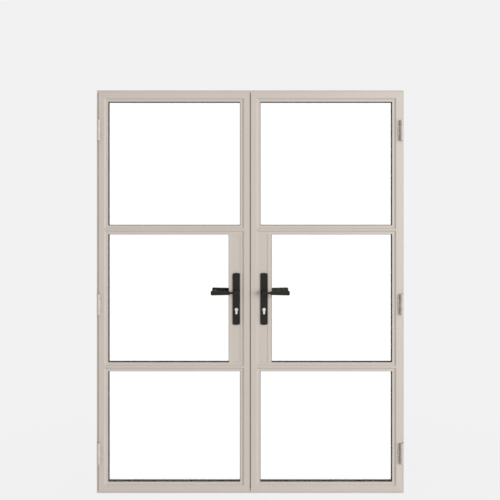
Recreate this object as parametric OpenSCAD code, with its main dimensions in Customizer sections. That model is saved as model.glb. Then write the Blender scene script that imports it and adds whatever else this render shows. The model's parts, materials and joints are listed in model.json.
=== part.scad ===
// Double french doors in their frame: slim aluminium profiles, three panes a leaf.
// Millimetres. X to the right, Y from the hinge side to the rear, Z up.
// The origin is at the middle of the frame's underside, on the leaves' mid-plane.
// Every leaf part is drawn for the right leaf; the left leaf is its mirror image.

/* [Frame] */
// Overall width of the frame
frame_w = 1600; // [1200:10:2200]
// Overall height of the frame
frame_h = 2100; // [1900:10:2600]
// Width of each frame member, seen from the front
frame_face = 28; // [26:1:40]
// Width of the frame that shows round the leaves
frame_show = 11; // [8:1:14]
// Wall thickness of the frame tube
frame_wall = 2; // [1.6:0.2:3]
// Diameter of the fixing holes in the jambs
fixing_hole_d = 10.5; // [6.5:0.5:12]
// Height of the lowest pair of fixing holes
fixing_low = 250; // [200:10:300]
// Height of the highest pair of fixing holes
fixing_high = 1850; // [1500:10:2300]

/* [Leaf profile] */
// Depth of a leaf, front to back
leaf_depth = 50; // [46:1:64]
// Gap between the two leaves at the meeting line
meeting_gap = 6; // [6:0.5:9]
// Gap between a leaf's tube and the frame
side_gap = 3; // [2:0.5:5]
// Gap between a leaf's flange and the frame, which the seal closes
seal_gap = 2; // [1.5:0.25:3]
// Thickness of the leaf's front flange
flange_t = 6; // [5:0.5:8]
// Width of the raised face of stiles and rails
face_w = 30; // [28:1:50]
// Width of the sloping edge beside a raised face
slope_w = 7.5; // [5:0.5:12]
// Width of the flat lip beside the glass
lip_w = 11.5; // [11:0.5:16]
// Height of a raised face over the flat lips beside it
step_h = 6; // [3:0.5:7]
// Thickness of the flat lips
lip_t = 2.5; // [2:0.5:3.5]
// Wall thickness of the leaf's tubes
leaf_wall = 2; // [1.6:0.2:2.6]

/* [Bars] */
// Width of the raised middle of a transom
transom_face = 8; // [6:1:20]
// Height of the upper transom's centre line
upper_transom_z = 1373; // [1250:1:1500]
// Height of the lower transom's centre line
lower_transom_z = 659; // [500:1:720]
// Visible width of the lock panel
panel_w = 40; // [40:1:60]
// Visible width of the lock mullion
mullion_w = 19; // [19:1:30]

/* [Glazing] */
// Thickness of one glass pane
glass_t = 4; // [3:1:6]
// Space between the two panes of a unit
glass_space = 16; // [12:1:20]
// Clearance between a unit's edge and its pocket
glass_clear = 3; // [2:0.5:4]
// Height of a bead's foot
bead_foot = 4.2; // [3:0.2:5]

/* [Handles] */
// Height of the lever spindle
spindle_z = 1050; // [1000:1:1100]
// Distance from the spindle down to the cylinder
cylinder_drop = 92; // [72:1:92]
// Width of a handle plate
plate_w = 36; // [34:1:40]
// Height of a handle plate
plate_h = 270; // [240:1:300]
// Thickness of a handle plate
plate_t = 10; // [8:1:12]
// Rise of the arched plate ends
plate_arch = 3.5; // [1:0.5:6]
// Distance from the plate's middle up to the spindle
plate_rise = 37; // [30:1:45]
// Distance of a lever's axis from the leaf's mid-plane
lever_reach = 82.5; // [70:0.5:95]
// Length of a lever from its spindle
lever_len = 131; // [110:1:140]
// Height of a lever where it leaves the spindle
lever_thin = 9.5; // [9:0.5:14]
// Height of a lever where its flare ends
lever_wide = 19.5; // [15:0.5:22]
// Height of a lever at its tip
lever_tip = 23.5; // [16:0.5:26]
// Front to back thickness of a lever
lever_t = 12; // [10:1:16]
// Diameter of a lever's neck
neck_d = 20; // [18:1:24]
// How far a lever swings up, in degrees
lever_swing = 45; // [30:1:50]

/* [Lock] */
// Side of the square spindle
spindle_a = 8; // [7:1:9]
// Distance from the spindle to a bolt slide's pin
pin_reach = 16; // [14:1:17]
// Diameter of a slide's pin
slide_pin_d = 5; // [4:0.5:6]
// Diameter of a bolt rod
rod_d = 8; // [7:0.5:9]
// Diameter of the cylinder's round part
cylinder_d = 17; // [16:0.5:18]
// Full height of the cylinder's section
cylinder_h = 33; // [32:0.5:34]
// Width of the cylinder's leg
cylinder_leg = 10; // [9:0.5:11]
// Diameter of the cylinder's plug
plug_d = 13; // [12:0.5:14]

/* [Hinges] */
// Diameter of a hinge knuckle
knuckle_d = 18; // [16:1:22]
// Length of the middle knuckle, which the leaf carries
knuckle_mid = 51; // [40:1:60]
// Length of each outer knuckle, which the frame carries
knuckle_end = 27; // [20:1:35]
// Diameter of a hinge pin
hinge_pin_d = 8; // [6:1:10]
// Height of the lowest hinge's centre
hinge_low = 211; // [180:1:320]
// Height of the middle hinge's centre
hinge_mid = 986; // [800:1:1200]
// Distance from the frame's top down to the highest hinge's centre
hinge_drop = 210; // [180:1:320]
// Distance of the hinge axis in front of the raised face
hinge_reach = 13; // [12:0.5:18]

/* [Hidden] */
LEAF_PARTS = [
  "hinge_stile", "meeting_stile", "top_rail", "bottom_rail", "upper_transom",
  "lower_transom", "lock_mullion", "lock_panel", "glass_top", "glass_middle",
  "glass_bottom", "spacers", "glazing_beads", "gaskets", "hinge_leaf_flags", "screws",
  "plate_front", "plate_back", "lock_case", "cylinder_body", "lever_front",
  "lever_back", "spindle", "top_bolt_rod", "bottom_bolt_rod", "cylinder_plug"
];
$fn = 48;

beige = [0.78, 0.74, 0.70];
black = [0.16, 0.16, 0.15];
rubber = [0.10, 0.10, 0.10];
steel = [0.62, 0.63, 0.64];
nickel = [0.82, 0.82, 0.80];
clear = [0.85, 0.92, 0.92, 0.35];

eps = 1;              // how far a cutter runs past what it cuts
slip = 0.2;           // clearance of a piece let into another
running = 0.05;       // radial clearance of a turning fit
press = 0.01;         // radial clearance of a pin driven into its bore
free_gap = 0.4;       // clearance between pieces that move past each other

// Section heights and depths shared by the profiles
half_w = frame_w / 2;
face_y = leaf_depth / 2;
flat_y = face_y - step_h;
lip_y = flat_y - lip_t;
flange_y = -face_y + flange_t;
frame_front = flange_y + seal_gap;
frame_back = face_y;
frame_mid = (frame_front + frame_back) / 2;
slope_end = face_w + slope_w;
member_w = slope_end + lip_w;
tube_u = frame_face - frame_show + side_gap;

// The right leaf's outline, and its openings
leaf_in = meeting_gap / 2;
leaf_out = half_w - frame_show;
leaf_low = frame_show;
leaf_high = frame_h - frame_show;
open_in = leaf_in + member_w;
open_out = leaf_out - member_w;
open_low = leaf_low + member_w;
open_high = leaf_high - member_w;
tube_low = leaf_low + tube_u;
tube_high = leaf_high - tube_u;
transom_tube = transom_face / 2 + slope_w;
transom_half = transom_tube + lip_w;
mullion_in = open_in + panel_w;
mullion_out = mullion_in + mullion_w;
mullion_lip = 4;
mullion_pocket = 8;
mullion_wall = 1.8;
mid_low = lower_transom_z + transom_half;
mid_high = upper_transom_z - transom_half;

// Each pane's opening: inner x, outer x, low z, high z, pocket depth at the inner x
PANE_TOP = [open_in, open_out, upper_transom_z + transom_half, open_high, lip_w];
PANE_MIDDLE = [mullion_out, open_out, mid_low, mid_high, mullion_pocket];
PANE_BOTTOM = [open_in, open_out, open_low, lower_transom_z - transom_half, lip_w];
PANES = [PANE_TOP, PANE_MIDDLE, PANE_BOTTOM];
unit_y = glass_space / 2 + glass_t;
bead_gap = 1;         // between a bead's foot and the glass
block_l = 100;        // length of a setting block under a unit
seal_free = 0.3;      // the uncompressed frame seal stops short of the frame by this

// Lock panel, a box tube between the meeting stile and the mullion
panel_bite = 6;
panel_wall = 2;
panel_in = open_in - panel_bite;
panel_out = mullion_in + mullion_lip - slip;
panel_low = mid_low - panel_bite;
panel_high = mid_high + panel_bite;

// Handles and lock
handle_x = open_in + panel_w / 2;
cylinder_z = spindle_z - cylinder_drop;
plate_z = spindle_z - plate_rise;
plate_face = lip_y + plate_t;
bearing_depth = plate_t - 2;
end_play = 0.5;
spindle_hole_r = spindle_a * 0.8;
lever_collar = 1;
flare_from = 29;
flare_to = 37;
screw_d = 5;
screw_head_d = 9.6;
screw_head_t = 3;
screw_cover = 3;
screw_inset = 18;
SCREW_Z = [plate_z - plate_h / 2 + screw_inset, plate_z + plate_h / 2 - screw_inset];
case_foot = 11;
case_head = 13;
case_low = SCREW_Z[0] + case_foot;
case_high = SCREW_Z[1] - case_head;
case_y = 9;
case_wall = 1.5;
case_over = 1;
case_out = handle_x + plate_w / 2 + case_over;
forend_t = 3;
forend_y = 10;
forend_over = 15;
hub_d = 20;
hub_clear = 1;
fork_y = 2;
fork_slack = 0.6;
fork_cheek = 3;
fork_end = 3.5;
fork_tip = pin_reach + fork_end;
slide_in_y = 2.5;
slide_out_y = 6.5;
slide_w = 7;
slide_bar = 10;
bolt_throw = 2 * pin_reach * tan(lever_swing / 2);
bolt_inset = 10;
bolt_x = leaf_in + bolt_inset;
guide_r = rod_d / 2 + free_gap;
guide_wall = 2.7;
rod_recess = 1;
keep_wall = 2.5;
keep_spare = 4;
keep_length = bolt_throw + keep_spare;
top_bar_rise = 14;
bottom_bar_drop = 21;
cylinder_proud = 3;
cylinder_face = plate_face + cylinder_proud;
cam_r = 15;
cam_gap = 5.25;
cam_play = 0.25;
cam_rim = 2;
cam_clear = 0.5;
bridge_top = cylinder_z - cam_r - cam_clear;
leg_z = cylinder_z + cylinder_d / 2 - cylinder_h + cylinder_leg / 2;
fixing_drop = 0.5;
fixing_z = leg_z - fixing_drop;

// Hinges
hinge_inset = 2;
hinge_x = leaf_out - hinge_inset;
hinge_y = -face_y - hinge_reach;
knuckle_gap = 0.4;
flag_t = 3;
flag_w = 20;
flag_edge = 2;
HINGE_Z = [hinge_low, hinge_mid, frame_h - hinge_drop];
hinge_half = knuckle_mid / 2 + knuckle_gap + knuckle_end;
FRAME_FLAG_Z = [for (z = HINGE_Z) for (low = [-hinge_half, hinge_half - knuckle_end]) z + low];
tongue_gap = 1.5;
tongue_x = [leaf_out + tongue_gap, hinge_x + knuckle_d / 2];
tongue_depth = 12;
tongue_screw_y = frame_front + frame_wall + tongue_depth / 2;
frame_screw_head_d = 9;
flag_screw_d = 4;
flag_screw_head_d = 7.2;
flag_screw_head_t = 1.5;
flag_screw_inset = 5;
flag_screw_x = hinge_x - flag_w + flag_screw_inset;
flag_screw_end = flange_y - 0.5;
foot_inset = 0.5;
pin_cap_d = knuckle_d - 3;
pin_cap_t = 1.5;
FLAG_SCREW_Z = [for (z = HINGE_Z) for (up = [-1, 1]) z + up * knuckle_mid / 3];

// ---- Helpers ----

// The span of a given half width about a centre
function around(c, half) = [c - half, c + half];

// A box from its lowest corner to its highest
module box(x, y, z) {
  translate([x[0], y[0], z[0]]) cube([x[1] - x[0], y[1] - y[0], z[1] - z[0]]);
}

// Extrudes a (height, depth) section along X
module along_x(x) {
  translate([x[1], 0, 0]) rotate([0, -90, 0]) linear_extrude(x[1] - x[0]) children();
}

// Extrudes an (x, depth) section along Z
module along_z(z) {
  translate([0, 0, z[0]]) linear_extrude(z[1] - z[0]) children();
}

// Extrudes an (x, height) outline along Y
module along_y(y) {
  translate([0, y[1], 0]) rotate([90, 0, 0]) linear_extrude(y[1] - y[0]) children();
}

// A rod along X at (y, z)
module rod_x(y, z, r, x) {
  translate([x[0], y, z]) rotate([0, 90, 0]) cylinder(r = r, h = x[1] - x[0]);
}

// A rod along Y at (x, z)
module rod_y(x, z, r, y) {
  translate([x, y[1], z]) rotate([90, 0, 0]) cylinder(r = r, h = y[1] - y[0]);
}

// The left leaf's copy of a part drawn for the right leaf
module on_left() {
  mirror([1, 0, 0]) children();
}

// A piece drawn at the front, moved to the rear
module on_back() {
  mirror([0, 1, 0]) children();
}

// ---- Frame ----

module frame_section() {
  difference() {
    translate([0, frame_front]) square([frame_face, frame_back - frame_front]);
    translate([frame_wall, frame_front + frame_wall])
      square([frame_face - 2 * frame_wall, frame_back - frame_front - 2 * frame_wall]);
  }
}

// Mitred end planes: the outline of a member along the frame's underside
module frame_sill_outline() {
  polygon([[-half_w, 0], [half_w, 0], [half_w - frame_face, frame_face],
           [frame_face - half_w, frame_face]]);
}

// The outline of a member along the frame's right side
module frame_side_outline() {
  polygon([[half_w, 0], [half_w, frame_h], [half_w - frame_face, frame_h - frame_face],
           [half_w - frame_face, frame_face]]);
}

// A hole for a bolt keep, through the wall beside each leaf
module keep_cut() {
  for (side = [-1, 1])
    translate([side * bolt_x, 0, frame_face - frame_wall - eps])
      cylinder(r = guide_r + keep_wall, h = frame_wall + 2 * eps);
}

module threshold_member() {
  difference() {
    intersection() {
      along_x([-half_w, half_w]) frame_section();
      along_y([frame_front - eps, frame_back + eps]) frame_sill_outline();
    }
    keep_cut();
  }
}

module frame_threshold() {
  color(beige) threshold_member();
}

module frame_head() {
  color(beige) translate([0, 0, frame_h]) mirror([0, 0, 1]) threshold_member();
}

module frame_jamb_right() {
  color(beige) difference() {
    intersection() {
      translate([half_w, 0, 0]) mirror([1, 0, 0]) along_z([0, frame_h]) frame_section();
      along_y([frame_front - eps, frame_back + eps]) frame_side_outline();
    }
    for (z = [fixing_low, fixing_high])
      rod_x(frame_mid, z, fixing_hole_d / 2, [half_w - frame_face - eps, half_w + eps]);
    for (z = FRAME_FLAG_Z) {
      box(tongue_x + [-slip, slip], [frame_front - eps, frame_front + frame_wall + eps],
          [z - slip, z + knuckle_end + slip]);
      rod_x(tongue_screw_y, z + knuckle_end / 2, frame_screw_head_d / 2 + slip,
            [half_w - frame_face - eps, half_w - frame_face + frame_wall + eps]);
    }
  }
}

module frame_jamb_left() {
  on_left() frame_jamb_right();
}

// Sockets for the four bolt rods, pressed into the head and the threshold
module frame_bolt_keeps() {
  module keep() {
    difference() {
      cylinder(r = guide_r + keep_wall, h = keep_length);
      translate([0, 0, frame_wall]) cylinder(r = guide_r + free_gap, h = keep_length);
    }
  }
  color(steel) for (side = [-1, 1]) {
    translate([side * bolt_x, 0, frame_face - keep_length]) keep();
    translate([side * bolt_x, 0, frame_h - frame_face + keep_length]) mirror([0, 0, 1]) keep();
  }
}

// ---- Leaf profiles: u runs inward from the leaf's edge, then the depth ----

// The part of every profile from its raised faces to its lips
function inner_edge(u) = [
  [u, -face_y], [u + slope_w, -flat_y], [u + slope_w + lip_w, -flat_y],
  [u + slope_w + lip_w, -lip_y], [u + slope_w, -lip_y], [u + slope_w, flat_y], [u, face_y]
];

// The chamber inside a tube from u0 to the slope that starts at u
function chamber(u0, u) = [
  [u0, leaf_wall - face_y], [u, leaf_wall - face_y],
  [u + slope_w - leaf_wall, leaf_wall - flat_y], [u + slope_w - leaf_wall, flat_y - leaf_wall],
  [u, face_y - leaf_wall], [u0, face_y - leaf_wall]
];

// Outline of the outer members, whose flange laps over the frame
module flanged_outline() {
  polygon(concat([[0, -face_y]], inner_edge(face_w),
                 [[tube_u, face_y], [tube_u, flange_y], [0, flange_y]]));
}

// Outline of the meeting stile, a full tube
module meeting_outline() {
  polygon(concat([[0, -face_y]], inner_edge(face_w), [[0, face_y]]));
}

module flanged_section() {
  flange_hole = flange_t - 2 * leaf_wall;
  difference() {
    flanged_outline();
    polygon(chamber(tube_u + leaf_wall, face_w));
    translate([leaf_wall, leaf_wall - face_y]) square([tube_u - 2 * leaf_wall, flange_hole]);
  }
}

// The meeting stile's section, with the round channel that guides the bolt rods
module meeting_section() {
  u = bolt_x - leaf_in;
  difference() {
    union() {
      difference() {
        meeting_outline();
        polygon(chamber(leaf_wall, face_w));
      }
      translate([u, 0]) circle(r = guide_r + guide_wall);
      translate([leaf_wall / 2, -guide_wall]) square([u - leaf_wall / 2, 2 * guide_wall]);
    }
    translate([u, 0]) circle(r = guide_r);
  }
}

// The mitred outline of a leaf's bottom rail
module leaf_sill_outline() {
  polygon([[leaf_in, leaf_low], [leaf_out, leaf_low], [open_out, open_low], [open_in, open_low]]);
}

module bottom_rail() {
  color(beige) intersection() {
    translate([0, 0, leaf_low]) along_x([leaf_in, leaf_out]) flanged_section();
    along_y([-face_y - eps, face_y + eps]) leaf_sill_outline();
  }
}

module top_rail() {
  translate([0, 0, frame_h]) mirror([0, 0, 1]) bottom_rail();
}

module hinge_stile() {
  color(beige) difference() {
    intersection() {
      translate([leaf_out, 0, 0]) mirror([1, 0, 0]) along_z([leaf_low, leaf_high])
        flanged_section();
      along_y([-face_y - eps, face_y + eps])
        polygon([[leaf_out, leaf_low], [leaf_out, leaf_high], [open_out, open_high],
                 [open_out, open_low]]);
    }
    flag_screw_holes(0);
  }
}

// The room that the lock case and its forend take, plus a clearance
module case_room(gap) {
  box([leaf_in + forend_t - gap, case_out + gap], [-case_y - gap, case_y + gap],
      [case_low - gap, case_high + gap]);
  box([leaf_in - eps, leaf_in + forend_t + gap], [-forend_y - gap, forend_y + gap],
      [case_low - forend_over - gap, case_high + forend_over + gap]);
}

module meeting_stile() {
  color(beige) difference() {
    intersection() {
      translate([leaf_in, 0, 0]) along_z([leaf_low, leaf_high]) meeting_section();
      along_y([-face_y - eps, face_y + eps])
        polygon([[leaf_in, leaf_low], [leaf_in, leaf_high], [open_in, open_high],
                 [open_in, open_low]]);
    }
    for (z = [[leaf_low - eps, tube_low], [tube_high, leaf_high + eps]])
      box([leaf_in - eps, open_in + eps], [flange_y, face_y + eps], z);
    case_room(slip);
  }
}

// A transom's section: a narrow raised middle with a lip on both sides
module transom_outline() {
  half = inner_edge(transom_face / 2);
  other = [for (i = [len(half) - 1:-1:0]) [-half[i][0], half[i][1]]];
  polygon(concat(half, other));
}

module transom_section() {
  edge = transom_tube - leaf_wall;
  mid = transom_face / 2;
  difference() {
    transom_outline();
    polygon([[-mid, leaf_wall - face_y], [mid, leaf_wall - face_y], [edge, leaf_wall - flat_y],
             [edge, flat_y - leaf_wall], [mid, face_y - leaf_wall], [-mid, face_y - leaf_wall],
             [-edge, flat_y - leaf_wall], [-edge, leaf_wall - flat_y]]);
  }
}

// A transom reaches over the stiles' slopes and is coped to their profile
module transom(z) {
  color(beige) difference() {
    translate([0, 0, z]) along_x([leaf_in + face_w, leaf_out - face_w]) transom_section();
    translate([leaf_in, 0, 0]) along_z([leaf_low, leaf_high]) meeting_outline();
    translate([leaf_out, 0, 0]) mirror([1, 0, 0]) along_z([leaf_low, leaf_high]) flanged_outline();
  }
}

// The mullion between the lock panel and the middle pane, a tube with three lips
module lock_mullion() {
  tube = [mullion_in + mullion_lip, mullion_out - mullion_pocket];
  foot = transom_half - transom_tube;
  color(beige) difference() {
    union() {
      box([mullion_in, mullion_out], [-flat_y, -lip_y], [mid_low, mid_high]);
      box([mullion_in, tube[1]], [lip_y, flat_y], [mid_low, mid_high]);
      box(tube, [-lip_y, flat_y], [mid_low - foot, mid_high + foot]);
    }
    box([tube[0] + mullion_wall, tube[1] - mullion_wall], [mullion_wall - lip_y, lip_y],
        [0, frame_h]);
  }
}

// ---- Lock panel ----

// The section of the cylinder, with a clearance all round
module cylinder_outline(gap) {
  translate([handle_x, cylinder_z]) circle(d = cylinder_d + 2 * gap);
  translate([handle_x, leg_z]) circle(d = cylinder_leg + 2 * gap);
  translate([handle_x - cylinder_leg / 2 - gap, leg_z])
    square([cylinder_leg + 2 * gap, cylinder_z - leg_z]);
}

module lock_panel() {
  w = panel_wall;
  color(beige) difference() {
    box([panel_in, panel_out], [-lip_y, lip_y], [panel_low, panel_high]);
    box([panel_in + w, panel_out - w], [w - lip_y, lip_y - w],
        [panel_low - eps, panel_high + eps]);
    rod_y(handle_x, spindle_z, hub_d / 2 + hub_clear, [-face_y, face_y]);
    along_y([-face_y, face_y]) cylinder_outline(slip);
    for (z = SCREW_Z) rod_y(handle_x, z, screw_d / 2 + slip, [-face_y, face_y]);
    case_room(slip);
  }
}

// ---- Glazing ----

// The box of a pane's opening, widened by a share of each pocket's depth
module pane_box(p, bite, y) {
  inner_bite = bite - lip_w + p[4];
  box([p[0] - inner_bite, p[1] + bite], y, [p[2] - bite, p[3] + bite]);
}

// A frame round a pane's opening
module pane_ring(p, bite, y) {
  difference() {
    pane_box(p, bite, y);
    box([p[0], p[1]], [y[0] - eps, y[1] + eps], [p[2], p[3]]);
  }
}

// Two panes of glass
module glass_unit(p) {
  bite = lip_w - glass_clear;
  color(clear) {
    pane_box(p, bite, [-unit_y, glass_t - unit_y]);
    pane_box(p, bite, [unit_y - glass_t, unit_y]);
  }
}

module spacers() {
  color(rubber) for (p = PANES)
    pane_ring(p, lip_w - glass_clear, [glass_t - unit_y, unit_y - glass_t]);
}

// A bead's section: its lip beside the glass and its foot in the pocket, of a pocket's depth
module bead_section(depth) {
  foot_y = unit_y + bead_gap;
  polygon([[0, foot_y], [bead_foot, foot_y], [bead_foot, lip_y], [depth, lip_y],
           [depth, flat_y], [0, flat_y]]);
}

// Four loose beads round an opening: two full-width bars with two uprights between them
module pane_beads(p) {
  x = [p[0] - p[4], p[1] + lip_w];
  upright = [p[2] + slip, p[3] - slip];
  translate([0, 0, p[2] - lip_w]) along_x(x) bead_section(lip_w);
  translate([0, 0, p[3] + lip_w]) mirror([0, 0, 1]) along_x(x) bead_section(lip_w);
  translate([x[0], 0, 0]) along_z(upright) bead_section(p[4]);
  translate([x[1], 0, 0]) mirror([1, 0, 0]) along_z(upright) bead_section(lip_w);
}

// The beads that hold the lock panel on three sides
module panel_beads() {
  x = [open_in - lip_w, mullion_in + mullion_lip];
  uncut = [mid_low + slip, mid_high - slip];
  difference() {
    union() {
      translate([0, 0, mid_low - lip_w]) along_x(x) bead_section(lip_w);
      translate([0, 0, mid_high + lip_w]) mirror([0, 0, 1]) along_x(x) bead_section(lip_w);
      translate([x[0], 0, 0]) along_z(uncut) bead_section(lip_w);
    }
    case_room(slip);
  }
}

module glazing_beads() {
  color(beige) {
    for (p = PANES) pane_beads(p);
    panel_beads();
  }
}

// Glazing gaskets, setting blocks under each unit, and the leaf's two seals
module gaskets() {
  bite = lip_w - bead_foot;
  meeting_reach = 2.3;
  meeting_y = [frame_front, frame_front + 6];
  seal_u = [7, 15];
  seal_y = [flange_y, frame_front - seal_free];
  color(rubber) {
    for (p = PANES) {
      pane_ring(p, bite, [-lip_y, -unit_y]);
      pane_ring(p, bite, [unit_y, lip_y]);
      for (x = [p[0] + block_l, p[1] - 2 * block_l])
        box([x, x + block_l], [-unit_y, unit_y], [p[2] - lip_w, p[2] - lip_w + glass_clear]);
    }
    box([leaf_out - seal_u[1], leaf_out - seal_u[0]], seal_y,
        [leaf_low + seal_u[0], leaf_high - seal_u[0]]);
    for (z = [[leaf_low + seal_u[0], leaf_low + seal_u[1]],
              [leaf_high - seal_u[1], leaf_high - seal_u[0]]])
      box([leaf_in, leaf_out - seal_u[0]], seal_y, z);
    box([leaf_in - meeting_reach, leaf_in], meeting_y, [tube_low, tube_high]);
  }
}

// ---- Handles ----

// Points of an arc, from angle a0 to a1
function arc(c, r, a0, a1, n) =
  [for (i = [0:n]) c + r * [cos(a0 + (a1 - a0) * i / n), sin(a0 + (a1 - a0) * i / n)]];

// Outline of a handle plate: straight sides, gently arched ends, rounded corners
module plate_outline() {
  half = plate_w / 2;
  corner = 5;
  big = (half * half + plate_arch * plate_arch) / (2 * plate_arch);
  top = plate_h / 2 - big;
  inner = big - corner;
  lean = acos((half - corner) / inner);
  c = [half - corner, top + inner * sin(lean)];
  end = concat(arc(c, corner, 0, lean, 6), arc([0, top], big, lean, 180 - lean, 12),
               arc([-c[0], c[1]], corner, 180 - lean, 180, 6));
  translate([handle_x, plate_z]) polygon(concat(end, [for (q = end) -q]));
}

module plate_front() {
  color(black) difference() {
    along_y([-plate_face, -lip_y]) plate_outline();
    rod_y(handle_x, spindle_z, neck_d / 2 + running, [-plate_face - eps, bearing_depth - plate_face]);
    rod_y(handle_x, spindle_z, spindle_hole_r, [-plate_face, eps - lip_y]);
    along_y([-plate_face - eps, eps - lip_y]) cylinder_outline(slip);
    for (z = SCREW_Z) rod_y(handle_x, z, screw_d / 2, [screw_cover - plate_face, eps - lip_y]);
  }
}

module plate_back() {
  color(black) difference() {
    along_y([lip_y, plate_face]) plate_outline();
    rod_y(handle_x, spindle_z, neck_d / 2 + running, [plate_face - bearing_depth, plate_face + eps]);
    rod_y(handle_x, spindle_z, spindle_hole_r, [lip_y - eps, plate_face]);
    along_y([lip_y - eps, plate_face + eps]) cylinder_outline(slip);
    for (z = SCREW_Z) {
      rod_y(handle_x, z, screw_d / 2 + slip, [lip_y - eps, plate_face]);
      rod_y(handle_x, z, screw_head_d / 2 + slip, [plate_face - screw_head_t, plate_face + eps]);
    }
  }
}

// Half the lever's height at a distance from its spindle: slim, then a cosine flare, then a taper
function lever_half(x) =
  x < flare_from ? lever_thin / 2 :
  x < flare_to ? lever_thin / 2 + (lever_wide - lever_thin) / 4
                 * (1 - cos(180 * (x - flare_from) / (flare_to - flare_from))) :
  lever_wide / 2 + (lever_tip - lever_wide) / 2 * (x - flare_to) / (lever_len - flare_to);

// Outline of a lever: a round end on the spindle, a slim start, then a flared grip
module lever_outline() {
  tip_r = 7;
  grip = [for (x = [flare_from:1:flare_to]) [x, lever_half(x)]];
  tip = arc([lever_len - tip_r, lever_tip / 2 - tip_r], tip_r, 90, 0, 6);
  upper = concat([[0, lever_thin / 2]], grip, tip);
  lower = [for (i = [len(upper) - 1:-1:0]) [upper[i][0], -upper[i][1]]];
  translate([handle_x, spindle_z]) {
    circle(d = neck_d + lever_collar);
    polygon(concat(upper, lower));
  }
}

module lever_front() {
  rear = -lever_reach + lever_t / 2;
  hole = (spindle_a + slip) / 2;
  color(black) difference() {
    union() {
      along_y([rear - lever_t, rear]) lever_outline();
      rod_y(handle_x, spindle_z, neck_d / 2, [rear - eps, bearing_depth - end_play - plate_face]);
    }
    box(around(handle_x, hole), [rear, -lip_y], around(spindle_z, hole));
  }
}

// The square spindle, and the follower whose two forks drive the bolt slides
module spindle() {
  x = around(handle_x, spindle_a / 2);
  z = around(spindle_z, spindle_a / 2);
  fork_slot = slide_pin_d / 2 + fork_slack;
  fork_half = fork_slot + fork_cheek;
  tip_y = lever_reach - lever_t / 2 - eps;
  hole = (spindle_a + slip) / 2;
  color(steel) {
    box(x, [-tip_y, tip_y], z);
    difference() {
      union() {
        rod_y(handle_x, spindle_z, hub_d / 2, [-case_y, case_y]);
        translate([handle_x, 0, spindle_z]) rotate([0, lever_swing / 2, 0])
          box([-fork_tip, fork_tip], [-fork_y, fork_y], [-fork_half, fork_half]);
      }
      translate([handle_x, 0, spindle_z]) rotate([0, lever_swing / 2, 0])
        for (side = [-1, 1]) translate([side * fork_tip, 0, 0])
          box([-fork_slot - fork_end, fork_slot + fork_end], [-fork_y - eps, fork_y + eps],
              [-fork_slot, fork_slot]);
      box(around(handle_x, hole), [-case_y - eps, case_y + eps], around(spindle_z, hole));
    }
  }
}

// ---- Lock ----

module lock_case() {
  w = case_wall;
  hole_r = guide_r + slip;
  color(steel) difference() {
    union() {
      difference() {
        box([leaf_in + forend_t, case_out], [-case_y, case_y], [case_low, case_high]);
        box([leaf_in + forend_t + w, case_out + eps], [w - case_y, case_y - w],
            [case_low + w, case_high - w]);
      }
      box([leaf_in, leaf_in + forend_t], [-forend_y, forend_y],
          [case_low - forend_over, case_high + forend_over]);
    }
    rod_y(handle_x, spindle_z, hub_d / 2 + running, [-case_y - eps, case_y + eps]);
    along_y([-case_y - eps, case_y + eps]) cylinder_outline(slip);
    translate([bolt_x, 0, case_low - eps]) cylinder(r = hole_r, h = case_high - case_low + 2 * eps);
    rod_x(0, fixing_z, screw_d / 2 + slip, [leaf_in - eps, leaf_in + forend_t + w + eps]);
  }
}

module cylinder_body() {
  color(nickel) difference() {
    along_y([-cylinder_face, cylinder_face]) cylinder_outline(0);
    rod_y(handle_x, cylinder_z, plug_d / 2 + running, [-cylinder_face - eps, cylinder_face + eps]);
    box(around(handle_x, cylinder_d), [-cam_gap, cam_gap],
        [bridge_top, cylinder_z + cylinder_d]);
    rod_x(0, fixing_z, screw_d / 2, around(handle_x, cylinder_leg));
  }
}

// The plug with its cam, and a keyway in each face
module cylinder_plug() {
  cam_y = cam_gap - cam_play;
  cam_w = 7;
  key_w = 2;
  key_h = 8;
  key_depth = 12;
  color(nickel) difference() {
    union() {
      rod_y(handle_x, cylinder_z, plug_d / 2, [-cylinder_face, cylinder_face]);
      rod_y(handle_x, cylinder_z, plug_d / 2 + cam_rim, [-cam_y, cam_y]);
      box(around(handle_x, cam_w / 2), [-cam_y, cam_y], [cylinder_z - cam_r, cylinder_z]);
    }
    for (y = [[-cylinder_face - eps, key_depth - cylinder_face],
              [cylinder_face - key_depth, cylinder_face + eps]])
      box(around(handle_x, key_w / 2), y, around(cylinder_z, key_h / 2));
  }
}

// A bolt slide's pin stands level with the spindle at half the swing
module top_bolt_rod() {
  pin_x = handle_x + pin_reach;
  pin_z = spindle_z - bolt_throw / 2;
  bar_low = spindle_z + hub_d / 2 + top_bar_rise;
  y = [slide_in_y, slide_out_y];
  x = around(pin_x, slide_w / 2);
  color(steel) {
    rod_y(pin_x, pin_z, slide_pin_d / 2, [-fork_y, slide_out_y]);
    box(x, y, [pin_z - slide_w / 2, bar_low + slide_bar]);
    box([bolt_x - rod_d / 2, x[1]], y, [bar_low, bar_low + slide_bar]);
    translate([bolt_x, 0, bar_low]) cylinder(d = rod_d, h = tube_high - rod_recess - bar_low);
  }
}

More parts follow.
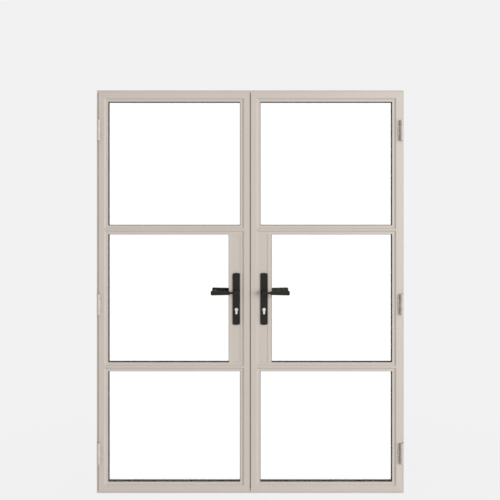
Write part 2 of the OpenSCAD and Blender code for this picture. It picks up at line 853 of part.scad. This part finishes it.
// The bottom slide passes beside the cylinder's fixing screw as a flat strip
module bottom_bolt_rod() {
  pin_x = handle_x - pin_reach;
  pin_z = spindle_z + bolt_throw / 2;
  bar_high = spindle_z - hub_d / 2 - bottom_bar_drop;
  strip_y = [-slide_out_y - 0.5, -slide_in_y - 0.7];
  strip_clear = 2;
  strip_lap = 5;
  strip_low = case_low + case_wall + bolt_throw + strip_clear;
  rod_top = strip_low + strip_lap;
  rod_low = tube_low + rod_recess;
  y = [-slide_out_y, -slide_in_y];
  x = around(pin_x, slide_w / 2);
  color(steel) {
    rod_y(pin_x, pin_z, slide_pin_d / 2, [-slide_out_y, fork_y]);
    box(x, y, [bar_high - slide_bar, pin_z + slide_w / 2]);
    box([bolt_x - rod_d / 2, x[1]], y, [bar_high - slide_bar, bar_high]);
    box(around(bolt_x, rod_d / 2), strip_y, [strip_low, bar_high]);
    translate([bolt_x, 0, rod_low]) cylinder(d = rod_d, h = rod_top - rod_low);
  }
}

// ---- Hinges ----

// A knuckle about the hinge axis, bored for its pin
module knuckle(z, length, gap) {
  translate([hinge_x, hinge_y, z]) difference() {
    cylinder(d = knuckle_d, h = length);
    translate([0, 0, -eps]) cylinder(d = hinge_pin_d + 2 * gap, h = length + 2 * eps);
  }
}

// The bore that a flag's web leaves free
module pin_bore(z, gap) {
  translate([hinge_x, hinge_y, z[0] - eps])
    cylinder(d = hinge_pin_d + 2 * gap, h = z[1] - z[0] + 2 * eps);
}

// A frame flag: its knuckle, a foot on the jamb, and a tongue screwed inside the jamb
module frame_flag(z) {
  span = [z, z + knuckle_end];
  difference() {
    union() {
      knuckle(z, knuckle_end, press);
      box(tongue_x, [hinge_y, frame_front + frame_wall + tongue_depth], span);
      box([tongue_x[0], half_w - foot_inset], [frame_front - flag_t, frame_front], span);
    }
    pin_bore(span, press);
    rod_x(tongue_screw_y, z + knuckle_end / 2, screw_d / 2, tongue_x + [-eps, eps]);
  }
}

module hinge_frame_flags() {
  color(beige) for (side = [0, 1]) mirror([side, 0, 0]) for (z = FRAME_FLAG_Z) frame_flag(z);
}

// Holes for the screws that hold the leaf flags to the hinge stile
module flag_screw_holes(gap) {
  for (z = FLAG_SCREW_Z)
    rod_y(flag_screw_x, z, flag_screw_d / 2 + gap, [-face_y - flag_t - eps, flag_screw_end]);
}

module hinge_leaf_flags() {
  plate = [hinge_x - flag_w, hinge_x - flag_edge];
  color(beige) difference() {
    union() for (zc = HINGE_Z) {
      z = [zc - knuckle_mid / 2, zc + knuckle_mid / 2];
      knuckle(z[0], knuckle_mid, running);
      box(plate, [-face_y - flag_t, -face_y], z);
      difference() {
        box([hinge_x - knuckle_d / 2, hinge_x - flag_edge], [hinge_y, -face_y], z);
        pin_bore(z, running);
      }
    }
    flag_screw_holes(slip);
    for (z = FLAG_SCREW_Z)
      rod_y(flag_screw_x, z, flag_screw_head_d / 2 + slip,
            [-face_y - flag_t - eps, flag_screw_head_t - face_y - flag_t]);
  }
}

module hinge_pins() {
  color(steel) for (side = [-1, 1]) for (z = HINGE_Z)
    translate([side * hinge_x, hinge_y, z - hinge_half]) {
      cylinder(d = hinge_pin_d, h = 2 * hinge_half);
      translate([0, 0, 2 * hinge_half]) cylinder(d = pin_cap_d, h = pin_cap_t);
      translate([0, 0, -pin_cap_t]) cylinder(d = pin_cap_d, h = pin_cap_t);
    }
}

// ---- Screws ----

// Through screws of the plates, the cylinder's fixing screw and the leaf flags' screws
module leaf_screws() {
  color(steel) {
    for (z = SCREW_Z) {
      rod_y(handle_x, z, screw_d / 2, [screw_cover - plate_face, plate_face]);
      rod_y(handle_x, z, screw_head_d / 2, [plate_face - screw_head_t, plate_face]);
    }
    rod_x(0, fixing_z, screw_d / 2, [leaf_in, handle_x + cylinder_leg / 2]);
    for (z = FLAG_SCREW_Z) {
      rod_y(flag_screw_x, z, flag_screw_d / 2, [-face_y - flag_t, flag_screw_end]);
      rod_y(flag_screw_x, z, flag_screw_head_d / 2,
            [-face_y - flag_t, flag_screw_head_t - face_y - flag_t]);
    }
  }
}

// The screws that hold the frame flags' tongues, driven from inside the opening
module frame_screws() {
  inner = half_w - frame_face;
  color(steel) for (side = [0, 1]) mirror([side, 0, 0]) for (z = FRAME_FLAG_Z) {
    rod_x(tongue_screw_y, z + knuckle_end / 2, screw_d / 2, [inner, tongue_x[1]]);
    rod_x(tongue_screw_y, z + knuckle_end / 2, frame_screw_head_d / 2,
          [inner, inner + frame_wall]);
  }
}

// ---- Parts ----

frame_head();
frame_threshold();
frame_jamb_left();
frame_jamb_right();
frame_bolt_keeps();
frame_screws();
hinge_frame_flags();
hinge_pins();

on_left() hinge_stile();  // left_hinge_stile
on_left() meeting_stile();  // left_meeting_stile
on_left() top_rail();  // left_top_rail
on_left() bottom_rail();  // left_bottom_rail
on_left() transom(upper_transom_z);  // left_upper_transom
on_left() transom(lower_transom_z);  // left_lower_transom
on_left() lock_mullion();  // left_lock_mullion
on_left() lock_panel();  // left_lock_panel
on_left() glass_unit(PANE_TOP);  // left_glass_top
on_left() glass_unit(PANE_MIDDLE);  // left_glass_middle
on_left() glass_unit(PANE_BOTTOM);  // left_glass_bottom
on_left() spacers();  // left_spacers
on_left() glazing_beads();  // left_glazing_beads
on_left() gaskets();  // left_gaskets
on_left() hinge_leaf_flags();  // left_hinge_leaf_flags
on_left() leaf_screws();  // left_screws
on_left() plate_front();  // left_plate_front
on_left() plate_back();  // left_plate_back
on_left() lock_case();  // left_lock_case
on_left() cylinder_body();  // left_cylinder_body
on_left() lever_front();  // left_lever_front
on_left() on_back() lever_front();  // left_lever_back
on_left() spindle();  // left_spindle
on_left() top_bolt_rod();  // left_top_bolt_rod
on_left() bottom_bolt_rod();  // left_bottom_bolt_rod
on_left() cylinder_plug();  // left_cylinder_plug

hinge_stile();  // right_hinge_stile
meeting_stile();  // right_meeting_stile
top_rail();  // right_top_rail
bottom_rail();  // right_bottom_rail
transom(upper_transom_z);  // right_upper_transom
transom(lower_transom_z);  // right_lower_transom
lock_mullion();  // right_lock_mullion
lock_panel();  // right_lock_panel
glass_unit(PANE_TOP);  // right_glass_top
glass_unit(PANE_MIDDLE);  // right_glass_middle
glass_unit(PANE_BOTTOM);  // right_glass_bottom
spacers();  // right_spacers
glazing_beads();  // right_glazing_beads
gaskets();  // right_gaskets
hinge_leaf_flags();  // right_hinge_leaf_flags
leaf_screws();  // right_screws
plate_front();  // right_plate_front
plate_back();  // right_plate_back
lock_case();  // right_lock_case
cylinder_body();  // right_cylinder_body
lever_front();  // right_lever_front
on_back() lever_front();  // right_lever_back
spindle();  // right_spindle
top_bolt_rod();  // right_top_bolt_rod
bottom_bolt_rod();  // right_bottom_bolt_rod
cylinder_plug();  // right_cylinder_plug
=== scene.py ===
import json
import math

import bmesh
import bpy
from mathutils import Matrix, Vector


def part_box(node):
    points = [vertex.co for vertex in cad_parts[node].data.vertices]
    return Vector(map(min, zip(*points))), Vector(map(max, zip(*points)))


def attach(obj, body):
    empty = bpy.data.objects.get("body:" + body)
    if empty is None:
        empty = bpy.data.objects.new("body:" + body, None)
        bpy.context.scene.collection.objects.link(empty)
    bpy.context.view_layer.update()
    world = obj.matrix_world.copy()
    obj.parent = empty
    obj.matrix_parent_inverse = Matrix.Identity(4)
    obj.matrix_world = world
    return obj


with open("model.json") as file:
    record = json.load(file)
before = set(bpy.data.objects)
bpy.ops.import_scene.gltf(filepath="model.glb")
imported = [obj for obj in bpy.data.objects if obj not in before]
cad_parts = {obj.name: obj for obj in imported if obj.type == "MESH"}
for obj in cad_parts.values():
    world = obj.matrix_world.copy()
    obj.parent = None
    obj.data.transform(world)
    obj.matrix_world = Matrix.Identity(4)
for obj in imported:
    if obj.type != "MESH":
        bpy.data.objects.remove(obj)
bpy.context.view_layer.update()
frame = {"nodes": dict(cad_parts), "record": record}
NODES = frame["nodes"]
MM = 0.001
SIDES = {"left": -1, "right": 1}

# ---- Photographic set-up: metres, and linear brightness ----

PHOTO_DISTANCE = 4.15        # from the camera to the leaves' front faces
EYE_HEIGHT = 1.503           # of the camera over the floor
EYE_X = -0.00125             # of the camera beside the meeting line
LENS = 57.42                 # focal length, mm
SENSOR_WIDTH = 36.0          # mm
SHIFT_Y = -0.0904            # moves the view down while the camera looks level
VIEW_END = 200.0             # the farthest thing that the camera draws

BACKGROUND = 0.888           # brightness of the studio as the camera sees it
THROUGH_GLASS = 1.09         # the same backdrop behind the panes, where reflections add to it
AMBIENT = 0.55               # brightness of the surroundings that light the doors
FLOOR_AMBIENT = 0.6          # the same for the floor, which lights them from below

LIGHTS_AIM = (0.0, 0.0, 1.05)
# name: place, size, power in watts
LIGHTS = {
    "key": ((7.9, -10.9, 2.6), (9.0, 6.0), 1410.0),
    "rear_fill": ((-7.0, 9.0, 3.0), (6.0, 5.0), 420.0),
}

FLOOR_HALF = 30.0            # half the floor's side
FLOOR_TONE = 0.8             # colour and roughness of the floor's matt surface
FLOOR_FADE = (0.8, 2.5)      # distances between which the floor's shadow fades out
FLOOR_SHADOW = 0.05          # share of the matt surface beside the doors


def scene_settings():
    view = bpy.context.scene.view_settings
    view.view_transform = "Standard"
    view.look = "None"
    view.exposure = 0.0
    view.gamma = 1.0


# ---- Node helpers ----

def new_material(name):
    mat = bpy.data.materials.new(name)
    mat.use_nodes = True
    tree = mat.node_tree
    bsdf = tree.nodes["Principled BSDF"]
    return mat, tree, bsdf


def noise(tree, scale, detail=3.0, roughness=0.5):
    """Noise in the piece's own coordinates, in metres."""
    coords = tree.nodes.get("Texture Coordinate")
    coords = coords or tree.nodes.new("ShaderNodeTexCoord")
    tex = tree.nodes.new("ShaderNodeTexNoise")
    tex.inputs["Scale"].default_value = scale
    tex.inputs["Detail"].default_value = detail
    tex.inputs["Roughness"].default_value = roughness
    tree.links.new(coords.outputs["Object"], tex.inputs["Vector"])
    return tex.outputs["Fac"]


def ramp(tree, value, low, high, to_low=0.0, to_high=1.0):
    """Maps a value's range from low to high onto another."""
    node = tree.nodes.new("ShaderNodeMapRange")
    node.inputs["From Min"].default_value = low
    node.inputs["From Max"].default_value = high
    node.inputs["To Min"].default_value = to_low
    node.inputs["To Max"].default_value = to_high
    tree.links.new(value, node.inputs["Value"])
    return node.outputs["Result"]


def mix_colour(tree, factor, colour_a, colour_b):
    """Mixes two colours, each a constant or a socket, by a factor socket."""
    node = tree.nodes.new("ShaderNodeMix")
    node.data_type = "RGBA"
    tree.links.new(factor, node.inputs["Factor"])
    for socket, colour in (("A", colour_a), ("B", colour_b)):
        target = [i for i in node.inputs if i.name == socket and i.type == "RGBA"][0]
        if isinstance(colour, tuple):
            target.default_value = (*colour, 1.0)
        else:
            tree.links.new(colour, target)
    return [o for o in node.outputs if o.type == "RGBA"][0]


def bump(tree, bsdf, height, strength, distance):
    node = tree.nodes.new("ShaderNodeBump")
    node.inputs["Strength"].default_value = strength
    node.inputs["Distance"].default_value = distance
    tree.links.new(height, node.inputs["Height"])
    tree.links.new(node.outputs["Normal"], bsdf.inputs["Normal"])


def scaled(colour, factor):
    return tuple(c * factor for c in colour)


# ---- Materials: noise scales are per metre, so 1000 is a millimetre ----

GLASS_TINTS = (0.98, 0.995, 0.988), (0.99, 0.995, 0.992)
GLASS_SHADOW = (0.93, 0.95, 0.94, 1.0)    # what a lamp's light keeps on its way through
GLASS_IOR = 1.5


def powder_coat(name, colour, roughness, peel_mm, peel_depth_mm, edge, specular=0.5):
    """Sprayed powder coat: slow tone drift, a fine speckle, orange peel, and a painted highlight
    that lightens the convex edges, with edge as its strength.
    """
    mat, tree, bsdf = new_material(name)
    drift = ramp(tree, noise(tree, 3.0, 2.0), 0.3, 0.7)
    base = mix_colour(tree, drift, scaled(colour, 0.985), scaled(colour, 1.015))
    speck = ramp(tree, noise(tree, 900.0, 2.0), 0.42, 0.62, 0.0, 0.35)
    base = mix_colour(tree, speck, base, scaled(colour, 0.94))
    # painted highlight: convex edges, found by pointiness, are lightened to 1.12 of the coat's
    # colour as if they caught the light
    painted_edge_highlight = tree.nodes.new("ShaderNodeNewGeometry").outputs["Pointiness"]
    painted_edge_highlight = ramp(tree, painted_edge_highlight, 0.53, 0.62, 0.0, edge)
    base = mix_colour(tree, painted_edge_highlight, base, scaled(colour, 1.12))
    tree.links.new(base, bsdf.inputs["Base Color"])
    gloss = ramp(tree, noise(tree, 60.0, 3.0), 0.3, 0.7, roughness - 0.04, roughness + 0.05)
    tree.links.new(gloss, bsdf.inputs["Roughness"])
    peel = noise(tree, 1000.0 / peel_mm, 3.0, 0.55)
    bump(tree, bsdf, peel, 0.35, peel_depth_mm * MM)
    bsdf.inputs["Specular IOR Level"].default_value = specular
    return mat


def clear_glass(name):
    """Float glass that lets lamps through, with the faint green of its iron."""
    mat, tree, bsdf = new_material(name)
    drift = ramp(tree, noise(tree, 2.5, 2.0), 0.35, 0.65)
    tint = mix_colour(tree, drift, *GLASS_TINTS)
    tree.links.new(tint, bsdf.inputs["Base Color"])
    bump(tree, bsdf, noise(tree, 6.0, 1.0), 0.1, 0.2 * MM)
    bsdf.inputs["Roughness"].default_value = 0.0
    bsdf.inputs["IOR"].default_value = GLASS_IOR
    bsdf.inputs["Specular IOR Level"].default_value = 0.3
    bsdf.inputs["Transmission Weight"].default_value = 1.0
    paths = tree.nodes.new("ShaderNodeLightPath")
    through = tree.nodes.new("ShaderNodeBsdfTransparent")
    through.inputs["Color"].default_value = GLASS_SHADOW
    mix = tree.nodes.new("ShaderNodeMixShader")
    tree.links.new(paths.outputs["Is Shadow Ray"], mix.inputs["Fac"])
    tree.links.new(bsdf.outputs["BSDF"], mix.inputs[1])
    tree.links.new(through.outputs["BSDF"], mix.inputs[2])
    tree.links.new(mix.outputs["Shader"], tree.nodes["Material Output"].inputs["Surface"])
    return mat


def rubber(name, colour, roughness):
    """Matt rubber or plastic with a cloudy tone and a fine grain."""
    mat, tree, bsdf = new_material(name)
    tone = ramp(tree, noise(tree, 400.0, 3.0), 0.35, 0.65)
    base = mix_colour(tree, tone, scaled(colour, 0.85), scaled(colour, 1.25))
    tree.links.new(base, bsdf.inputs["Base Color"])
    matt = ramp(tree, noise(tree, 120.0, 2.0), 0.3, 0.7, roughness - 0.06, roughness + 0.06)
    tree.links.new(matt, bsdf.inputs["Roughness"])
    bump(tree, bsdf, noise(tree, 1500.0, 2.0), 0.25, 0.02 * MM)
    bsdf.inputs["Specular IOR Level"].default_value = 0.12
    return mat


def brushed(name, colour, roughness, stretch):
    """Brushed or turned metal, with its marks along one axis."""
    mat, tree, bsdf = new_material(name)
    coords = tree.nodes.new("ShaderNodeTexCoord")
    scale = tree.nodes.new("ShaderNodeMapping")
    scale.inputs["Scale"].default_value = stretch
    tree.links.new(coords.outputs["Object"], scale.inputs["Vector"])
    grain = tree.nodes.new("ShaderNodeTexNoise")
    grain.inputs["Scale"].default_value = 1.0
    grain.inputs["Detail"].default_value = 3.0
    tree.links.new(scale.outputs["Vector"], grain.inputs["Vector"])
    tone = ramp(tree, grain.outputs["Fac"], 0.3, 0.7)
    base = mix_colour(tree, tone, scaled(colour, 0.92), scaled(colour, 1.06))
    tree.links.new(base, bsdf.inputs["Base Color"])
    dull = ramp(tree, grain.outputs["Fac"], 0.3, 0.7, roughness - 0.05, roughness + 0.08)
    tree.links.new(dull, bsdf.inputs["Roughness"])
    bsdf.inputs["Metallic"].default_value = 1.0
    bump(tree, bsdf, grain.outputs["Fac"], 0.15, 0.01 * MM)
    return mat


def make_materials():
    return {
        # edge sets the strength of each coat's painted highlight on its convex edges
        "coat": powder_coat("beige_coat", (0.53, 0.475, 0.425), 0.42,
                            peel_mm=1.4, peel_depth_mm=0.03, edge=0.5),
        "handle": powder_coat("black_coat", (0.0108, 0.0085, 0.006), 0.55,
                              peel_mm=0.9, peel_depth_mm=0.04, edge=0.6, specular=0.25),
        "glass": clear_glass("clear_glass"),
        "rubber": rubber("seal_rubber", (0.017, 0.016, 0.0155), 0.7),
        "bulb": rubber("bulb_rubber", (0.32, 0.28, 0.24), 0.75),
        "spacer": rubber("spacer_black", (0.014, 0.014, 0.014), 0.65),
        "steel": brushed("zinc_steel", (0.56, 0.56, 0.55), 0.34, (900, 900, 40)),
        "nickel": brushed("satin_nickel", (0.78, 0.77, 0.75), 0.42, (60, 60, 1200)),
    }


# ---- CAD nodes ----

BEVEL_MM = {"coat": 0.35, "handle": 1.5, "nickel": 0.35, "steel": 0.3}
LEVER_BEVEL_MM = 1.4
BEVEL_SEGMENTS = 3
BEVEL_ANGLE = 20             # edges that turn by less than this stay as they are, degrees
WELD_DISTANCE = 0.00001


def finish_nodes(materials):
    """Gives every CAD node its material, welded smooth shading and softened edges."""
    slots = {s["node"]: s["material_slot"] for s in frame["record"]["subparts"]}
    for name, obj in NODES.items():
        slot = slots[name]
        mesh = obj.data
        mesh.materials.clear()
        mesh.materials.append(materials[slot])
        normals = mesh.attributes.get("custom_normal")
        if normals:
            mesh.attributes.remove(normals)
        for polygon in mesh.polygons:
            polygon.use_smooth = slot != "glass"
        if slot in BEVEL_MM:
            soften(obj, (LEVER_BEVEL_MM if "lever" in name else BEVEL_MM[slot]) * MM)


def soften(obj, width):
    """Welds a mesh's seams and rounds its edges, without changing the mesh itself."""
    weld = obj.modifiers.new("weld", "WELD")
    weld.merge_threshold = WELD_DISTANCE
    bevel = obj.modifiers.new("bevel", "BEVEL")
    bevel.width = width
    bevel.segments = BEVEL_SEGMENTS
    bevel.limit_method = "ANGLE"
    bevel.angle_limit = math.radians(BEVEL_ANGLE)
    bevel.use_clamp_overlap = True
    bevel.harden_normals = True
    normals = obj.modifiers.new("normals", "WEIGHTED_NORMAL")
    normals.keep_sharp = False


# ---- Added details ----

SHARP_ANGLE = 40             # an added piece's edges that turn by more stay sharp, degrees

# Gasket lips
LIP_PROUD = 1.9              # how far a lip stands past the aluminium at the front, mm
LIP_PROUD_REAR = 2.4         # the same at the rear
LIP_ROOT = 0.0002            # how far a lip starts outside the opening
LIP_SINK = 0.0001            # how far it starts below the aluminium's face
LIP_OFF_GLASS = 0.00003      # its clearance from the pane
LIP_BASE, LIP_CROWN = 0.22, 0.75    # its curve, as shares of its depth
LIP_UNDERCUT = 0.9           # share of its reach at the pane
LIP_STEPS = 6

# Meeting lips
LIP_MEET = 0.03              # half the slit between the two lips, mm
BULB_PROUD = 1.8             # how far a lip's bulb stands in front of its seal, mm
BULB_LAP = 0.0001            # how far a lip starts inside the stile
SEAL_LAP = 0.0003            # how far it covers the seal behind it
SEAL_CLEAR = 0.001           # the seal's points are those this far past the stile's edge
BULB_STEPS = 8

# Screw rims: radius, and the socket's size across its flats
PLATE_SCREW = (0.0046, 0.003)
FLAG_SCREW = (0.0034, 0.0025)
SCREW_INSET = 18.0           # plate end to the centre of its screw, mm
FLAG_SCREW_INSET = 5.0       # edge of a leaf flag to its screws' line, mm
FLAG_THICKNESS = 0.003
RIM_POINTS = 48
RIM_RISE = 0.16              # height of the dome, as a share of its radius
# Each ring's place from socket to rim (None is the socket's own edge), and its share of the rise
RIM_RINGS = ((None, 0.0), (None, 0.75), (0.12, 0.96), (0.45, 1.0), (0.8, 0.62), (1.0, 0.0))


def new_piece(name, vertices, faces, body, material):
    """Makes a visible piece from its points and faces, which moves with a body."""
    mesh = bpy.data.meshes.new(name)
    mesh.from_pydata(vertices, [], faces)
    shaped = bmesh.new()
    shaped.from_mesh(mesh)
    bmesh.ops.recalc_face_normals(shaped, faces=shaped.faces)
    shaped.to_mesh(mesh)
    shaped.free()
    mesh.materials.append(material)
    for polygon in mesh.polygons:
        polygon.use_smooth = True
    mesh.set_sharp_from_angle(angle=math.radians(SHARP_ANGLE))
    obj = bpy.data.objects.new(name, mesh)
    bpy.context.scene.collection.objects.link(obj)
    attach(obj, body)


def reach(node):
    """The nearest and farthest distance of a node from the meeting line, and its z range."""
    low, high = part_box(node)
    near, far = sorted((abs(low.x), abs(high.x)))
    return near, far, low.z, high.z


def pane_openings(side):
    """Each pane's opening as (inner distance, outer distance, low z, high z)."""
    part = {name: reach(f"{side}_{name}") for name in (
        "meeting_stile", "hinge_stile", "top_rail", "bottom_rail",
        "upper_transom", "lower_transom", "lock_mullion")}
    inner, outer = part["meeting_stile"][1], part["hinge_stile"][0]
    return (
        (inner, outer, part["upper_transom"][3], part["top_rail"][2]),
        (part["lock_mullion"][1], outer, part["lower_transom"][3], part["upper_transom"][2]),
        (inner, outer, part["bottom_rail"][3], part["lower_transom"][2]),
    )


def sweep_round(opening, sign, face, profile, vertices, faces):
    """Sweeps a closed (inward, depth) profile round an opening, mitred at its corners."""
    first = len(vertices)
    near, far, low, high = opening
    for inward, depth in profile:
        for d, z in ((near + inward, low + inward), (far - inward, low + inward),
                     (far - inward, high - inward), (near + inward, high - inward)):
            vertices.append((sign * d, face * depth, z))
    count = len(profile)
    for i in range(count):
        for corner in range(4):
            a, b = first + 4 * i, first + 4 * ((i + 1) % count)
            faces.append((a + corner, a + (corner + 1) % 4, b + (corner + 1) % 4, b + corner))


def gasket_lips(side, sign, material):
    """The soft lips of the glazing gaskets, which bear on the glass beside the aluminium."""
    glass_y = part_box(f"{side}_glass_top")[1].y
    lip_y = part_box(f"{side}_lock_panel")[1].y
    depth = lip_y - glass_y
    rest_y = glass_y + LIP_OFF_GLASS
    root_y = lip_y - LIP_SINK
    vertices, faces = [], []
    for face, proud in ((-1, LIP_PROUD * MM), (1, LIP_PROUD_REAR * MM)):
        profile = [(-LIP_ROOT, root_y), (0.0, root_y)]
        for i in range(1, LIP_STEPS + 1):
            turn = math.radians(90) * i / LIP_STEPS
            profile.append((proud * math.sin(turn),
                            glass_y + depth * (LIP_BASE + LIP_CROWN * math.cos(turn))))
        profile += [(proud * LIP_UNDERCUT, rest_y), (-LIP_ROOT, rest_y)]
        for opening in pane_openings(side):
            sweep_round(opening, sign, face, profile, vertices, faces)
    new_piece(f"{side}_gasket_lips", vertices, faces, f"{side}_leaf", material)


def meeting_lip(side, sign, material):
    """The soft lip of a meeting seal, which all but closes the slit between the shut leaves."""
    edge = reach(f"{side}_meeting_stile")[0]
    seal = [v.co for v in NODES[f"{side}_gaskets"].data.vertices
            if sign * v.co.x < edge - SEAL_CLEAR]
    nose = min(sign * c.x for c in seal)
    front, rear = min(c.y for c in seal), max(c.y for c in seal)
    low, high = min(c.z for c in seal), max(c.z for c in seal)
    tip = LIP_MEET * MM
    bulb, tail = edge / 2, nose + SEAL_LAP - tip
    bulb_front = front - BULB_PROUD * MM
    profile = [(edge + BULB_LAP, front + SEAL_LAP), (edge + BULB_LAP, bulb_front)]
    turns = [math.radians(90) * i / BULB_STEPS for i in range(BULB_STEPS + 1)]
    for turn in turns:
        profile.append((tip + bulb * (1 - math.sin(turn)),
                        front - BULB_PROUD * MM * math.cos(turn)))
    for turn in turns:
        profile.append((tip + tail * (1 - math.cos(turn)), rear - tail * (1 - math.sin(turn))))
    count = len(profile)
    vertices = [(sign * d, y, z) for z in (low, high) for d, y in profile]
    faces = [(i, (i + 1) % count, count + (i + 1) % count, count + i) for i in range(count)]
    faces += [tuple(range(count)), tuple(range(count, 2 * count))]
    new_piece(f"{side}_meeting_lip", vertices, faces, f"{side}_leaf", material)


def socket_head(centre, facing, radius, socket, vertices, faces):
    """A domed rim round a hexagonal socket, seated on a screw's flat head."""
    first = len(vertices)
    rise = radius * RIM_RISE
    for share, height in RIM_RINGS:
        for i in range(RIM_POINTS):
            turn = 2 * math.pi * i / RIM_POINTS
            sector = (turn + math.pi / 6) % (math.pi / 3) - math.pi / 6
            hexagon = socket / 2 / math.cos(sector)
            r = hexagon if share is None else hexagon + (radius - hexagon) * share
            vertices.append((centre[0] + r * math.cos(turn),
                             centre[1] + facing * (rise * height),
                             centre[2] + r * math.sin(turn)))
    for ring in range(len(RIM_RINGS)):
        a = first + ring * RIM_POINTS
        b = first + (ring + 1) % len(RIM_RINGS) * RIM_POINTS
        for i in range(RIM_POINTS):
            j = (i + 1) % RIM_POINTS
            faces.append((a + i, a + j, b + j, b + i))


def spans(node, gap=0.1):
    """The z ranges of a node's separate pieces, split where nothing lies for a stretch."""
    heights = sorted(v.co.z for v in NODES[node].data.vertices)
    found = [[heights[0], heights[0]]]
    for z in heights:
        if z - found[-1][1] > gap:
            found.append([z, z])
        found[-1][1] = z
    return found


def screw_heads(side, sign, material):
    """Socket rims on the rear plate's screws and on the leaf flags' screws."""
    vertices, faces = [], []
    low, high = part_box(f"{side}_plate_back")
    middle = (low.x + high.x) / 2
    for z in (low.z + SCREW_INSET * MM, high.z - SCREW_INSET * MM):
        socket_head((middle, high.y, z), 1, *PLATE_SCREW, vertices, faces)
    near = reach(f"{side}_hinge_leaf_flags")[0]
    screw_x = sign * (near + FLAG_SCREW_INSET * MM)
    flag_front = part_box(f"{side}_hinge_stile")[0].y - FLAG_THICKNESS
    for bottom, top in spans(f"{side}_hinge_leaf_flags"):
        for third in (-1, 1):
            z = (bottom + top) / 2 + third * (top - bottom) / 3
            socket_head((screw_x, flag_front, z), -1, *FLAG_SCREW, vertices, faces)
    new_piece(f"{side}_screw_rims", vertices, faces, f"{side}_leaf", material)


def add_details(materials):
    for side, sign in SIDES.items():
        gasket_lips(side, sign, materials["rubber"])
        meeting_lip(side, sign, materials["bulb"])
        screw_heads(side, sign, materials["steel"])


# ---- Studio ----

def area_light(name, place, size, power):
    """A soft white light, hidden from the camera and from what is seen through glass."""
    data = bpy.data.lights.new(name, "AREA")
    data.shape = "RECTANGLE"
    data.size, data.size_y = size
    data.energy = power
    light = bpy.data.objects.new(name, data)
    light.location = place
    aim = Vector(LIGHTS_AIM) - Vector(place)
    light.rotation_euler = aim.to_track_quat("-Z", "Y").to_euler()
    light.visible_camera = False
    light.visible_transmission = False
    bpy.context.scene.collection.objects.link(light)


def studio_glow(tree, ambient):
    """Brightness of the surroundings: as a light, as seen directly, and as seen through glass."""
    paths = tree.nodes.new("ShaderNodeLightPath")
    total = None
    for ray, level in (("Is Camera Ray", BACKGROUND), ("Is Transmission Ray", THROUGH_GLASS)):
        node = tree.nodes.new("ShaderNodeMath")
        node.operation = "MULTIPLY_ADD"
        tree.links.new(paths.outputs[ray], node.inputs[0])
        node.inputs[1].default_value = level - ambient
        if total is None:
            node.inputs[2].default_value = ambient
        else:
            tree.links.new(total, node.inputs[2])
        total = node.outputs[0]
    return total


def studio():
    world = bpy.data.worlds.new("studio")
    world.use_nodes = True
    background = world.node_tree.nodes["Background"]
    background.inputs["Color"].default_value = (1.0, 1.0, 1.0, 1.0)
    glow = studio_glow(world.node_tree, AMBIENT)
    world.node_tree.links.new(glow, background.inputs["Strength"])
    bpy.context.scene.world = world
    for name, (place, size, power) in LIGHTS.items():
        area_light(name, place, size, power)


def floor():
    """A pale floor that takes a soft shadow near the doors and fades into the studio."""
    mesh = bpy.data.meshes.new("floor")
    corners = [(x * FLOOR_HALF, y * FLOOR_HALF, 0)
               for x, y in ((-1, -1), (1, -1), (1, 1), (-1, 1))]
    mesh.from_pydata(corners, [], [(0, 1, 2, 3)])
    obj = bpy.data.objects.new("floor", mesh)
    bpy.context.scene.collection.objects.link(obj)
    mat, tree, bsdf = new_material("floor")
    bsdf.inputs["Base Color"].default_value = (FLOOR_TONE, FLOOR_TONE, FLOOR_TONE, 1.0)
    bsdf.inputs["Roughness"].default_value = FLOOR_TONE
    bsdf.inputs["Specular IOR Level"].default_value = 0.0
    glow = tree.nodes.new("ShaderNodeEmission")
    tree.links.new(studio_glow(tree, FLOOR_AMBIENT), glow.inputs["Strength"])
    coords = tree.nodes.new("ShaderNodeTexCoord")
    length = tree.nodes.new("ShaderNodeVectorMath")
    length.operation = "LENGTH"
    tree.links.new(coords.outputs["Object"], length.inputs[0])
    near = ramp(tree, length.outputs["Value"], *FLOOR_FADE, FLOOR_SHADOW, 0.0)
    mix = tree.nodes.new("ShaderNodeMixShader")
    tree.links.new(near, mix.inputs["Fac"])
    tree.links.new(glow.outputs["Emission"], mix.inputs[1])
    tree.links.new(bsdf.outputs["BSDF"], mix.inputs[2])
    tree.links.new(mix.outputs["Shader"], tree.nodes["Material Output"].inputs["Surface"])
    mesh.materials.append(mat)


def camera():
    """The photograph's viewpoint, level and square to the doors."""
    data = bpy.data.cameras.new("camera")
    data.lens = LENS
    data.sensor_width = SENSOR_WIDTH
    data.shift_y = SHIFT_Y
    data.clip_end = VIEW_END
    obj = bpy.data.objects.new("camera", data)
    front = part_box("left_hinge_stile")[0].y
    obj.location = (EYE_X, front - PHOTO_DISTANCE, EYE_HEIGHT)
    obj.rotation_euler = (math.radians(90), 0.0, 0.0)
    bpy.context.scene.collection.objects.link(obj)
    bpy.context.scene.camera = obj


scene_settings()
materials = make_materials()
finish_nodes(materials)
add_details(materials)
studio()
floor()
camera()
